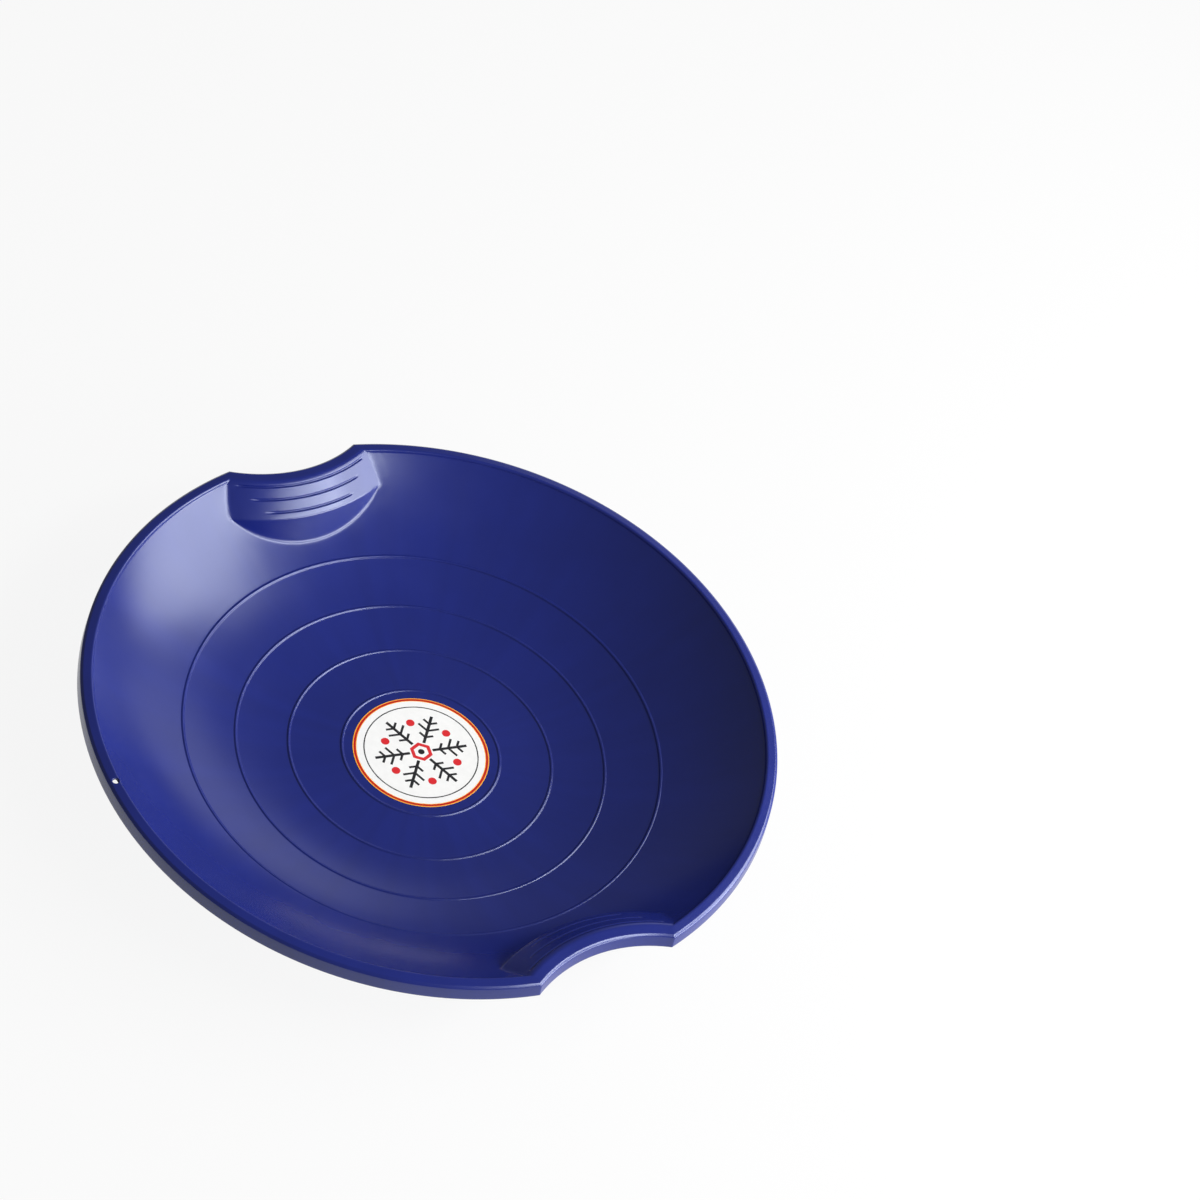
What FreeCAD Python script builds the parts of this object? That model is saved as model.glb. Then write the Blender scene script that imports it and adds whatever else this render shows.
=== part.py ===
"""Saucer sled: one moulded plastic dish with two hand-holds, and the round label stuck inside it.

Millimetres, +Z up. The origin is the middle of the flat underside, on the ground. The hand-holds
lie on the X axis and the rope hole on the -Y side. The dish is a turned section. At each hand-hold
the rim is drawn in along an arc, and behind it stands a boss, hollow below for the fingers, with a
grooved slope on top for the thumb. A boss is turned about the centre of its own rim arc. Both ends
are the same tools, mirrored.
"""
import FreeCAD, Part
import Sketcher
import math
import os

DIMENSIONS = (
    ("overall_radius", 330.2, "outside of the skirt's lower edge, for a 26 inch sled"),
    ("rim_height", 95.0, "top of the rim above the ground"),
    ("wall", 2.5, "moulded wall"),
    ("floor_radius", 103.0, "flat middle of the floor"),
    ("rim_step", 2.7, "rise from the top of the bowl to the rim's land"),
    ("land_width", 11.5, "flat top of the rim"),
    ("skirt_depth", 14.8, "outer skirt below the land"),
    ("skirt_flare", 1.7, "how far the skirt leans out on its way down"),
    ("rim_round", 2.0, "rounding of the rim's outer edge"),
    ("land_round", 1.2, "rounding of the land's inner edge"),
    ("ridge_first", 76.8, "radius of the first floor ridge"),
    ("ridge_pitch", 51.1, "from one floor ridge to the next"),
    ("ridge_bead", 1.5, "radius of a ridge's round bead"),
    ("ridge_height", 0.9, "how far a bead stands out of the floor"),
    ("hole_radius", 3.0, "rope hole in the land"),
    ("hole_inset", 6.9, "middle of the rope hole from the land's outer edge"),
    ("scallop_depth", 25.2, "how far the rim is drawn in at a hand-hold"),
    ("scallop_radius", 141.4, "arc of the drawn-in rim"),
    ("grip_land", 13.0, "land between the drawn-in rim and the grip slope"),
    ("slope_run", 29.1, "grip slope in plan, from the land to its crest"),
    ("slope_angle", 40.0, "fall of the grip slope, in degrees"),
    ("front_draft", 17.0, "lean of the boss's front face, in degrees"),
    ("crest_round", 2.0, "rounding of the boss's crest"),
    ("groove_bead", 1.1, "radius of a grip groove"),
    ("groove_first", 4.0, "first grip groove from the land, in plan"),
    ("groove_pitch", 9.8, "from one grip groove to the next, in plan"),
    ("groove_reach", 68.0, "half length of the top groove"),
    ("groove_taper", 12.5, "each lower groove is this much shorter at each end"),
    ("label_radius", 66.5, "round label"),
    ("label_thickness", 0.2, "label's film"),
)
RIDGE_COUNT = 4
GROOVE_COUNT = 3

# What follows from the driving dimensions. Heights are above the ground.
LAYOUT = (
    ("land_outer", "dims.overall_radius - dims.skirt_flare"),
    ("land_inner", "land_outer - dims.land_width"),
    ("land_under", "dims.rim_height - dims.wall"),
    ("skirt_foot", "dims.rim_height - dims.skirt_depth"),
    ("bowl_top", "dims.rim_height - dims.rim_step"),
    ("bowl_run", "land_inner - dims.floor_radius"),
    ("bowl_rise", "bowl_top - dims.wall"),
    ("bowl_radius", "(bowl_run ^ 2 + bowl_rise ^ 2) / (2 * bowl_rise)"),
    ("bowl_centre", "dims.wall + bowl_radius"),
    ("back_run", "sqrt(bowl_centre ^ 2 - (bowl_centre - land_under) ^ 2)"),
    ("core_radius", "bowl_radius + dims.wall / 2"),
    ("core_run", "sqrt(core_radius ^ 2 - (bowl_centre - land_under) ^ 2)"),
    ("hole_place", "land_outer - dims.hole_inset"),
    ("grip_centre", "land_outer - dims.scallop_depth + dims.scallop_radius"),
    ("grip_face", "dims.scallop_radius + dims.grip_land"),
    ("fall", "tan(dims.slope_angle * 1deg)"),
    ("lean", "tan(dims.front_draft * 1deg)"),
    ("slope_wall", "dims.wall / cos(dims.slope_angle * 1deg)"),
    ("front_wall", "dims.wall / cos(dims.front_draft * 1deg)"),
    ("crest_reach", "grip_face + dims.slope_run"),
    ("crest_height", "dims.rim_height - fall * dims.slope_run"),
    ("crest_inset", "(front_wall - lean * slope_wall) / (1 - lean * fall)"),
    ("hollow_reach", "crest_reach - crest_inset"),
    ("hollow_height", "crest_height - slope_wall + fall * crest_inset"),
    ("hollow_top", "grip_face - (slope_wall - dims.wall) / fall"),
    ("flare", "dims.skirt_flare / dims.skirt_depth"),
    ("overcut", "dims.wall"),
)

doc = FreeCAD.newDocument("saucer_sled")


def fill_sheet():
    """Driving dimensions: a name, a number and a note to each row."""
    sheet = doc.addObject("Spreadsheet::Sheet", "dims")
    for row, (alias, value, note) in enumerate(DIMENSIONS, start=1):
        sheet.set(f"A{row}", alias)
        sheet.set(f"B{row}", str(value))
        sheet.setAlias(f"B{row}", alias)
        sheet.set(f"C{row}", note)
    doc.recompute()
    return sheet


def fill_layout():
    """Derived sizes, each bound to the sheet or to the ones before it."""
    layout = doc.addObject("App::VarSet", "layout")
    for name, formula in LAYOUT:
        layout.addProperty("App::PropertyFloat", name, "Layout", formula)
        layout.setExpression(name, formula)
    doc.recompute()
    return layout


def add(kind, name, **bound):
    """A document object whose properties are bound to formulas; at_x, at_y and at_z place it."""
    item = doc.addObject(kind, name)
    for key, formula in bound.items():
        path = "Placement.Base." + key[3:] if key.startswith("at_") else key
        item.setExpression(path, formula)
    return item


def boolean(kind, name, base, tool):
    """Part::Cut, Part::Fuse or Part::Common of two objects."""
    item = doc.addObject(kind, name)
    item.Base = base
    item.Tool = tool
    return item


def join(name, items):
    """Several solids made one, with the seams between like faces cleared."""
    item = doc.addObject("Part::MultiFuse", name)
    item.Shapes = items
    item.Refine = True
    return item


def mirrored(item):
    """The same tool at the other hand-hold."""
    twin = doc.addObject("Part::Mirroring", item.Name + "_mirrored")
    twin.Source = item
    twin.Base = FreeCAD.Vector(0, 0, 0)
    twin.Normal = FreeCAD.Vector(1, 0, 0)
    return twin


def turned(name, corners, at_x="0"):
    """A body turned about an upright axis from a closed outline in the XZ plane.

    Each corner is (x formula, z formula, radius formula). The radius belongs to the edge that leaves
    the corner: empty for a straight edge, else an arc that bulges down, away from its centre above.
    """
    body = doc.addObject("PartDesign::Body", name)
    sketch = body.newObject("Sketcher::SketchObject", name + "_section")
    plane = [item for item in body.Origin.OriginFeatures if item.Role == "XZ_Plane"][0]
    sketch.AttachmentSupport = (plane, [""])
    sketch.MapMode = "FlatFace"
    places = []
    for x_formula, z_formula, _ in corners:
        x = float(layout.evalExpression(x_formula))
        z = float(layout.evalExpression(z_formula))
        places.append(FreeCAD.Vector(x, z, 0))
    ends = []
    for index, (_, _, radius_formula) in enumerate(corners):
        start = places[index]
        end = places[(index + 1) % len(places)]
        if not radius_formula:
            sketch.addGeometry(Part.LineSegment(start, end), False)
            ends.append((1, 2))
            continue
        radius = float(layout.evalExpression(radius_formula))
        middle = (start + end) * 0.5
        chord = end - start
        across = FreeCAD.Vector(-chord.y, chord.x, 0).normalize()
        if across.y < 0:
            across = across * -1
        centre = middle + across * math.sqrt(radius ** 2 - chord.Length ** 2 / 4)
        angles = [math.atan2(point.y - centre.y, point.x - centre.x) for point in (start, end)]
        ring = Part.Circle(centre, FreeCAD.Vector(0, 0, 1), radius)
        sketch.addGeometry(Part.ArcOfCircle(ring, min(angles), max(angles)), False)
        ends.append((1, 2) if angles[0] < angles[1] else (2, 1))
    for index, (x_formula, z_formula, radius_formula) in enumerate(corners):
        following = (index + 1) % len(corners)
        sketch.addConstraint(
            Sketcher.Constraint("Coincident", index, ends[index][1], following, ends[following][0]))
        place = places[index]
        if place.x == 0:
            sketch.addConstraint(Sketcher.Constraint("PointOnObject", index, ends[index][0], -2))
        else:
            key = sketch.addConstraint(
                Sketcher.Constraint("DistanceX", -1, 1, index, ends[index][0], place.x))
            sketch.setExpression(f"Constraints[{key}]", x_formula)
        if place.y == 0:
            sketch.addConstraint(Sketcher.Constraint("PointOnObject", index, ends[index][0], -1))
        else:
            key = sketch.addConstraint(
                Sketcher.Constraint("DistanceY", -1, 1, index, ends[index][0], place.y))
            sketch.setExpression(f"Constraints[{key}]", z_formula)
        if radius_formula:
            radius = float(layout.evalExpression(radius_formula))
            key = sketch.addConstraint(Sketcher.Constraint("Radius", index, radius))
            sketch.setExpression(f"Constraints[{key}]", radius_formula)
    turn = body.newObject("PartDesign::Revolution", name + "_turn")
    turn.Profile = sketch
    turn.ReferenceAxis = (sketch, ["V_Axis"])
    turn.Angle = 360
    body.Tip = turn
    body.setExpression("Placement.Base.x", at_x)
    return body


def rounded(name, item, choices):
    """Edges of an object rounded: choices is a list of (radius, test of an edge)."""
    doc.recompute()
    edges = []
    for number, edge in enumerate(item.Shape.Edges, start=1):
        for radius, test in choices:
            if test(edge):
                edges.append((number, radius, radius))
                break
    fillet = doc.addObject("Part::Fillet", name)
    fillet.Base = item
    fillet.Edges = edges
    return fillet


def near(value, target):
    """Equal, as far as a test of an edge goes."""
    return abs(value - target) < 0.02


def middle_of(edge):
    """The point half way along an edge."""
    return edge.valueAt((edge.FirstParameter + edge.LastParameter) / 2)


def reach_from_grip(point):
    """Distance in plan from the nearer hand-hold's centre."""
    return math.hypot(abs(point.x) - layout.grip_centre, point.y)


def flared(name, centre, radius, lean, foot, head):
    """A skirt face as a cone; the radius is at the land's height, the lean is its growth downward."""
    return add(
        "Part::Cone", name,
        Radius1=f"{radius} + ({lean}) * (dims.rim_height - ({foot}))",
        Radius2=f"{radius} + ({lean}) * (dims.rim_height - ({head}))",
        Height=f"({head}) - ({foot})", at_x=centre, at_z=foot)


def make_dish():
    """The turned dish: floor, bowl, step, land and skirt, and the air in it down to half its wall."""
    dish = turned("dish", (
        ("0", "0", ""),
        ("dims.floor_radius", "0", "layout.bowl_centre"),
        ("dims.floor_radius + layout.back_run", "layout.land_under", ""),
        ("layout.land_outer - dims.wall", "layout.land_under", ""),
        ("dims.overall_radius - dims.wall", "layout.skirt_foot", ""),
        ("dims.overall_radius", "layout.skirt_foot", ""),
        ("layout.land_outer", "dims.rim_height", ""),
        ("layout.land_inner", "dims.rim_height", ""),
        ("layout.land_inner", "layout.bowl_top", "layout.bowl_radius"),
        ("dims.floor_radius", "dims.wall", ""),
        ("0", "dims.wall", ""),
    ))
    air = turned("bowl_air", (
        ("0", "dims.wall / 2", ""),
        ("dims.floor_radius", "dims.wall / 2", "layout.core_radius"),
        ("dims.floor_radius + layout.core_run", "layout.land_under", ""),
        ("dims.floor_radius + layout.core_run", "dims.rim_height + layout.overcut", ""),
        ("0", "dims.rim_height + layout.overcut", ""),
    ))
    return dish, air


def make_hand_hold(air):
    """The tools of one hand-hold: what is cleared from the dish, and the rim and boss put there."""
    grip = "layout.grip_centre"
    above = "dims.rim_height + layout.overcut"
    behind = "dims.scallop_radius + dims.wall"
    clearing = add("Part::Cylinder", "hold_clearing", Radius="layout.grip_face", Height=above, at_x=grip)
    boss = turned("boss", (
        (behind, "0", ""),
        ("layout.crest_reach + layout.lean * layout.crest_height", "0", ""),
        ("layout.crest_reach", "layout.crest_height", ""),
        ("layout.grip_face", "dims.rim_height", ""),
        (behind, "dims.rim_height", ""),
    ), grip)
    boss = rounded("boss_rounded", boss, ((sheet.crest_round, is_crest_edge),))
    # The room for the fingers, open below, inside the skirts and under the boss.
    room = turned("finger_room", (
        ("0", "0", ""),
        ("layout.hollow_reach + layout.lean * layout.hollow_height", "0", ""),
        ("layout.hollow_reach", "layout.hollow_height", ""),
        ("layout.hollow_top", "layout.land_under", ""),
        ("0", "layout.land_under", ""),
    ), grip)
    inside = flared(
        "rim_inside", "0", "layout.land_outer - dims.wall", "layout.flare", "0", "layout.land_under")
    skirt = flared("scallop_skirt", grip, behind, "-layout.flare", "0", above)
    hollow = boolean("Part::Common", "hollow_in_rim", room, inside)
    hollow = boolean("Part::Cut", "hollow", hollow, skirt)
    # The drawn-in rim: its land and skirts.
    band = add(
        "Part::Cylinder", "band", Radius="layout.grip_face", Height="dims.skirt_depth",
        at_x=grip, at_z="layout.skirt_foot")
    rim = flared(
        "rim_outside", "0", "layout.land_outer", "layout.flare", "layout.skirt_foot", "dims.rim_height")
    scallop = flared("scallop", grip, "dims.scallop_radius", "-layout.flare", "0", above)
    band = boolean("Part::Common", "band_in_rim", band, rim)
    band = boolean("Part::Cut", "band_drawn_in", band, scallop)
    band = boolean("Part::Cut", "rim_band", band, hollow)
    # The boss's wall, ending inside the wall of the bowl.
    boss = boolean("Part::Cut", "boss_wall", boss, room)
    boss = boolean("Part::Common", "boss_in_bowl", boss, air)
    return clearing, hollow, band, boss


def is_crest_edge(edge):
    """The circle where the grip slope turns down into the boss's front."""
    point = middle_of(edge)
    return near(point.z, layout.crest_height) and near(reach_from_grip(point), layout.crest_reach)


def make_ridges():
    """Round beads standing out of the floor and the bowl, square to the surface."""
    sunk = "(dims.ridge_bead - dims.ridge_height)"
    ridges = []
    for index in range(RIDGE_COUNT):
        radius = f"(dims.ridge_first + {index} * dims.ridge_pitch)"
        # How far up the bowl's arc the ridge lies; none on the flat floor.
        lean = f"(max(0; {radius} - dims.floor_radius) / layout.bowl_radius)"
        ridges.append(add(
            "Part::Torus", f"ridge_{index + 1}",
            Radius1=f"{radius} + {sunk} * {lean}", Radius2="dims.ridge_bead",
            at_z=f"dims.wall + layout.bowl_radius * (1 - sqrt(1 - {lean} ^ 2))"
                 f" - {sunk} * sqrt(1 - {lean} ^ 2)"))
    return ridges


def make_grooves():
    """Grip grooves round the hand-hold's centre, sunk in the grip slope."""
    grooves = []
    for index in range(GROOVE_COUNT):
        run = f"(dims.groove_first + {index} * dims.groove_pitch)"
        radius = f"(layout.grip_face + {run})"
        half = f"asin((dims.groove_reach - {index} * dims.groove_taper) / {radius})"
        groove = add(
            "Part::Torus", f"groove_{index + 1}", Radius1=radius, Radius2="dims.groove_bead",
            Angle3=f"2 * {half}", at_x="layout.grip_centre",
            at_z=f"dims.rim_height - layout.fall * {run}")
        groove.Placement.Rotation = FreeCAD.Rotation(FreeCAD.Vector(0, 0, 1), 0)
        groove.setExpression("Placement.Rotation.Angle", f"180deg - {half}")
        grooves.append(groove)
    return grooves


def make_shell():
    """The moulded dish with both hand-holds, its ridges, grooves and rope hole."""
    dish, air = make_dish()
    clearing, hollow, band, boss = make_hand_hold(air)
    body = dish
    for tool in (clearing, mirrored(clearing), hollow, mirrored(hollow)):
        body = boolean("Part::Cut", "dish_less_" + tool.Name, body, tool)
    body = join("dish_with_holds", [body, band, mirrored(band), boss, mirrored(boss)])
    body = rounded("edges_rounded", body, (
        (sheet.rim_round, is_rim_edge),
        (sheet.land_round, is_land_edge),
    ))
    for groove in make_grooves():
        body = boolean("Part::Cut", groove.Name + "_cut", body, groove)
        body = boolean("Part::Cut", groove.Name + "_cut_twice", body, mirrored(groove))
    hole = add(
        "Part::Cylinder", "rope_hole", Radius="dims.hole_radius",
        Height="dims.skirt_depth + layout.overcut", at_y="-layout.hole_place", at_z="layout.skirt_foot")
    body = boolean("Part::Cut", "holed", body, hole)
    shell = join("shell", [body] + make_ridges())
    shell.Label = "saucer_shell"
    return shell


def is_rim_edge(edge):
    """The land's outer edge, plain or drawn in."""
    point = middle_of(edge)
    outer = near(math.hypot(point.x, point.y), layout.land_outer)
    return near(point.z, sheet.rim_height) and (
        outer or near(reach_from_grip(point), sheet.scallop_radius))


def is_land_edge(edge):
    """The land's inner edge, round the bowl or above a grip slope."""
    point = middle_of(edge)
    inner = near(math.hypot(point.x, point.y), layout.land_inner)
    return near(point.z, sheet.rim_height) and (
        inner or near(reach_from_grip(point), layout.grip_face))


def make_label():
    """The round film on the floor of the dish."""
    body = doc.addObject("PartDesign::Body", "label")
    body.Label = "centre_label"
    sketch = body.newObject("Sketcher::SketchObject", "label_outline")
    plane = [item for item in body.Origin.OriginFeatures if item.Role == "XY_Plane"][0]
    sketch.AttachmentSupport = (plane, [""])
    sketch.MapMode = "FlatFace"
    sketch.setExpression("AttachmentOffset.Base.z", "dims.wall")
    ring = Part.Circle(FreeCAD.Vector(0, 0, 0), FreeCAD.Vector(0, 0, 1), sheet.label_radius)
    sketch.addGeometry(ring, False)
    sketch.addConstraint(Sketcher.Constraint("Coincident", 0, 3, -1, 1))
    key = sketch.addConstraint(Sketcher.Constraint("Radius", 0, sheet.label_radius))
    sketch.setExpression(f"Constraints[{key}]", "dims.label_radius")
    film = body.newObject("PartDesign::Pad", "label_film")
    film.Profile = sketch
    film.setExpression("Length", "dims.label_thickness")
    body.Tip = film
    return body


sheet = fill_sheet()
layout = fill_layout()
sub_parts = [make_shell(), make_label()]
doc.recompute()

for item in doc.Objects:
    if "Invalid" in item.State or "Error" in item.State:
        raise RuntimeError(f"{item.Name} failed: {item.State}")
    shape = getattr(item, "Shape", None)
    if shape is not None and item.TypeId.startswith(("Part::", "PartDesign::Body")):
        if shape.isNull() or not shape.isValid():
            raise RuntimeError(f"{item.Name} has no valid shape")

os.makedirs("parts", exist_ok=True)
for item in sub_parts:
    item.Shape.exportStep(f"parts/{item.Label}.step")
    print(item.Label, "solids", len(item.Shape.Solids), "volume", round(item.Shape.Volume, 1))
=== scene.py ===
"""Dresses a packed saucer sled: its moulded shell, the printed label on its floor and a pale studio.

The shell is turned from one section and its rows are then drawn onto the hand-holds. Everything is in
metres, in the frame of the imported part: +Z up, the hand-holds on the X axis, the rope hole at -Y.
"""

import math
from collections import namedtuple

import bmesh
import bpy
from mathutils import Matrix, Quaternion, Vector


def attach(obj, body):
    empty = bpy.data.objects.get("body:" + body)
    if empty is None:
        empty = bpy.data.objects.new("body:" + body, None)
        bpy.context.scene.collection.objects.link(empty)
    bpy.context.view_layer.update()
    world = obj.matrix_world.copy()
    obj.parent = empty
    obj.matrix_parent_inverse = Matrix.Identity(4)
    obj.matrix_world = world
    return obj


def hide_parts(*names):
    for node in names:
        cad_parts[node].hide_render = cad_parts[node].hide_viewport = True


bl_info = {
    "name": "Saucer Sled",
    "version": (1, 0, 0),
    "blender": (4, 5, 0),
    "location": "View3D > Sidebar > Sled",
    "description": "Models a moulded saucer sled, its floor label and a plain studio",
    "category": "Object",
}

MM = 0.001
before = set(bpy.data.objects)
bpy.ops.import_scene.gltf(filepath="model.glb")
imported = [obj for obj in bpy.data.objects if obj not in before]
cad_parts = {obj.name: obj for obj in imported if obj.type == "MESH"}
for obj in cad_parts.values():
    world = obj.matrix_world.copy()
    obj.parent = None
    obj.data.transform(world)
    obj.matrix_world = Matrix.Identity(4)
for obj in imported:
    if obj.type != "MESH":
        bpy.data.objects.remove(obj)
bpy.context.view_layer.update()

# The turned mesh: columns in a quarter, and the turn that half of a hand-hold takes of them.
QUARTER_COLUMNS = 120
HOLD_TURN = math.radians(30.0)
# How far out the rows of the bowl stay plain circles: just past the last floor ridge.
FREE_REACH = 234 * MM
# The columns lean towards a hand-hold from here outwards.
LEAN_REACH = 70 * MM
# Beside a hand-hold, the rows of its front face spread over this much of the bowl.
FRONT_SPREAD = 14 * MM
# The rows along the lip of a hand-hold reach this far each side of it.
LIP_ROWS = 6 * MM
# A groove runs out over this length.
GROOVE_FADE = 9 * MM
# Vertices closer than this are one.
MERGE = 0.02 * MM
# Columns each side of a hand-hold's end that its soft crease takes, and how often it is smoothed.
CREASE_COLUMNS = 8
CREASE_ROUNDS = 16
# Gaps between the plain rows of the floor, above and below, and of the grip slope from below.
TOP_GAP = 13 * MM
UNDER_GAP = 20 * MM
SLOPE_GAP = 8 * MM
# Rows of the bowl: by share of the way to a lip, of the lip's own stretch, and of the way up the front.
TOP_APPROACH = (0.35, 0.65, 0.85)
TOP_FRONT = (0.25, 0.5, 0.75, 0.92)
UNDER_APPROACH = (0.4, 0.75)
UNDER_FRONT = (0.5, 0.85)
LIP_SHARES = (0, 0.15, 0.32, 0.52, 0.75, 1)
# A ridge's bead: rows each side of its middle, and how far from it the plain rows stop.
BEAD_STEPS = 3
BEAD_REACH = 2.1 * MM
# A groove's section: place across it in half widths, and share of its depth.
GROOVE_SECTION = ((-1.5, 0), (-1, 0), (-0.6, 0.8), (0, 1), (0.6, 0.8), (1, 0), (1.5, 0))
# Grip rows stay this far from the slope's ends, and the plain ones between grooves this far.
GROOVE_MARGIN = 0.2 * MM
BETWEEN_MARGIN = 1 * MM
# Roundings of the skirt's foot and of the corner inside the rim.
FOOT_ROUND = 0.6 * MM
INNER_ROUND = 0.8 * MM
# The crest of a hand-hold keeps at least this rounding on its inside.
LEAST_ROUND = 0.4 * MM
# The land is opened this far round the rope hole, and this far to each side along the rim.
HOLE_CLEAR = 1.35 * MM
HOLE_SPAN = 9 * MM
# Rings of the rope hole's edge: how much wider than the hole, and how far under the land, in millimetres.
HOLE_RINGS = ((1.0, 0), (0.45, 0), (0.12, 0.1), (0, 0.5))
HOLE_SEGMENTS = 32
LABEL_COLUMNS = 192
# The label's crystal, in millimetres: arms, twigs by root and length, thin circle, middle dot and hexagon.
ARM_START, ARM_END, ARM_HALF = 11.5, 46.5, 1.5
TWIGS = ((19.0, 8.0), (27.5, 12.0), (36.5, 8.0))
TWIG_HALF = 1.2
CIRCLE_REACH, CIRCLE_HALF = 55.5, 0.6
MIDDLE_RADIUS = 3.2
HEXAGON_REACH, HEXAGON_HALF = 8.2, 1.7
# Dots between the arms.
DOT_REACH, DOT_RADIUS = 36.0, 4.2
# The stage, in metres, and the camera's sensor in millimetres.
FLOOR_RADIUS = 200
SENSOR = 36
# The softboxes: bearing from +X, rise and lean to a side in degrees, the rest in metres.
Lamp = namedtuple("Lamp", "name bearing rise lean distance width tall")
LAMPS = (
    Lamp("key", 76, 34, 17, 2.2, 1.3, 1.3),
    Lamp("strip", 36, 47, -15, 2.2, 1.35, 0.42),
    Lamp("low", 38, 17, 0, 2.3, 2.2, 0.8),
    Lamp("back", 124, 21, 0, 2.2, 1.2, 0.9),
)


def length(name, description, millimetres):
    """A length as a property, its default given in millimetres."""
    return bpy.props.FloatProperty(
        name=name, description=description, default=millimetres * MM, unit="LENGTH", precision=4)


def turn(name, description, degrees):
    """An angle as a property, its default given in degrees."""
    return bpy.props.FloatProperty(
        name=name, description=description, default=math.radians(degrees), subtype="ANGLE")


def linear(code):
    """An sRGB hex colour as linear red, green and blue."""
    channels = [int(code[place:place + 2], 16) / 255 for place in (1, 3, 5)]
    return tuple(c / 12.92 if c <= 0.04045 else ((c + 0.055) / 1.055) ** 2.4 for c in channels)


def colour(name, description, code):
    """A colour as a property, its default given as an sRGB hex value."""
    return bpy.props.FloatVectorProperty(
        name=name, description=description, default=linear(code), subtype="COLOR", size=3, min=0, max=1)


class SledDish(bpy.types.PropertyGroup):
    """The turned dish and its rim."""

    overall_radius: length("Radius", "Radius over the skirt", 330.2)
    rim_height: length("Height", "From the ground to the land", 95.0)
    wall: length("Wall", "Moulded wall", 2.5)
    floor_radius: length("Floor", "Radius of the flat middle of the floor", 103.0)
    rim_step: length("Rim step", "Rise from the top of the bowl to the land", 2.7)
    land_width: length("Land", "Flat top of the rim", 11.5)
    land_fall: length("Land fall", "How far the land falls on its way out", 0.5)
    skirt_depth: length("Skirt", "Outer skirt below the land", 14.8)
    skirt_flare: length("Skirt flare", "How far the skirt leans out on its way down", 1.7)
    shoulder_width: length("Shoulder", "Eased edge between the land and the skirt, in plan", 2.4)
    shoulder_fall: turn("Shoulder fall", "Fall of the eased edge", 32.0)
    rim_round: length("Rim rounding", "Rounding at both sides of the eased edge", 1.5)
    land_round: length("Land rounding", "Rounding of the land's inner edge", 2.5)
    ridge_first: length("First ridge", "Radius of the first floor ridge", 76.8)
    ridge_pitch: length("Ridge pitch", "From one floor ridge to the next", 51.1)
    ridge_bead: length("Ridge bead", "Radius of a ridge's bead", 1.5)
    ridge_height: length("Ridge height", "How far a bead stands out of the floor", 0.9)
    ridge_count: bpy.props.IntProperty(name="Ridges", description="Floor ridges", default=4, min=0)
    hole_radius: length("Rope hole", "Radius of the rope hole", 3.0)
    hole_inset: length("Hole inset", "Middle of the rope hole from the land's outer edge", 6.9)


class SledHold(bpy.types.PropertyGroup):
    """A hand-hold: the rim drawn in along an arc, and behind it a hollow boss with a grooved slope."""

    scallop_depth: length("Scallop depth", "How far the rim is drawn in", 25.2)
    scallop_radius: length("Scallop radius", "Arc of the drawn-in rim", 141.4)
    grip_land: length("Grip land", "Land between the drawn-in rim and the slope", 13.0)
    slope_run: length("Slope run", "Grip slope in plan", 29.1)
    slope_angle: turn("Slope", "Fall of the grip slope", 40.0)
    front_draft: turn("Front draft", "Lean of the boss's front face from the upright", 17.0)
    grip_round: length("Grip rounding", "Soft edge from the land to the slope", 8.0)
    crest_round: length("Crest rounding", "Rounding from the slope to the front", 4.0)
    groove_first: length("First groove", "First groove from the land, in plan", 4.0)
    groove_pitch: length("Groove pitch", "From one groove to the next, in plan", 9.8)
    groove_width: length("Groove width", "Width of a groove", 2.6)
    groove_depth: length("Groove depth", "Depth of a groove", 1.5)
    groove_reach: length("Groove reach", "Half length of the top groove", 73.0)
    groove_taper: length("Groove taper", "How much shorter the next groove is at each end", 12.5)
    groove_count: bpy.props.IntProperty(name="Grooves", description="Grip grooves", default=3, min=0)


class SledLabel(bpy.types.PropertyGroup):
    """The printed label."""

    radius: length("Radius", "Radius of the label", 66.5)
    thickness: length("Thickness", "Thickness of the film", 0.2)
    height: length("Height", "Floor that the film lies on, above the ground", 2.5)
    border: length("Border", "Width of each printed border", 2.1)
    motif_turn: turn("Motif", "Bearing of the motif's first arm", 20.0)


class SledLook(bpy.types.PropertyGroup):
    """Colours and gloss of the sled."""

    shell: colour("Shell", "Pigment of the moulded shell", "#131F6D")
    shell_gloss: bpy.props.FloatProperty(
        name="Shell roughness", description="Mean roughness of the moulded shell", default=0.25,
        subtype="FACTOR", min=0.05, max=0.9)
    label_face: colour("Label", "Unprinted face of the label", "#F4F4F2")
    label_ring: colour("Inner border", "Printed inner border of the label", "#BE0F08")
    label_rim: colour("Outer border", "Printed outer border of the label", "#FFB03A")
    label_ink: colour("Ink", "Dark ink of the label's motif", "#1A1A1E")
    label_accent: colour("Accent ink", "Second ink of the label's motif", "#D8242C")


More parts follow.
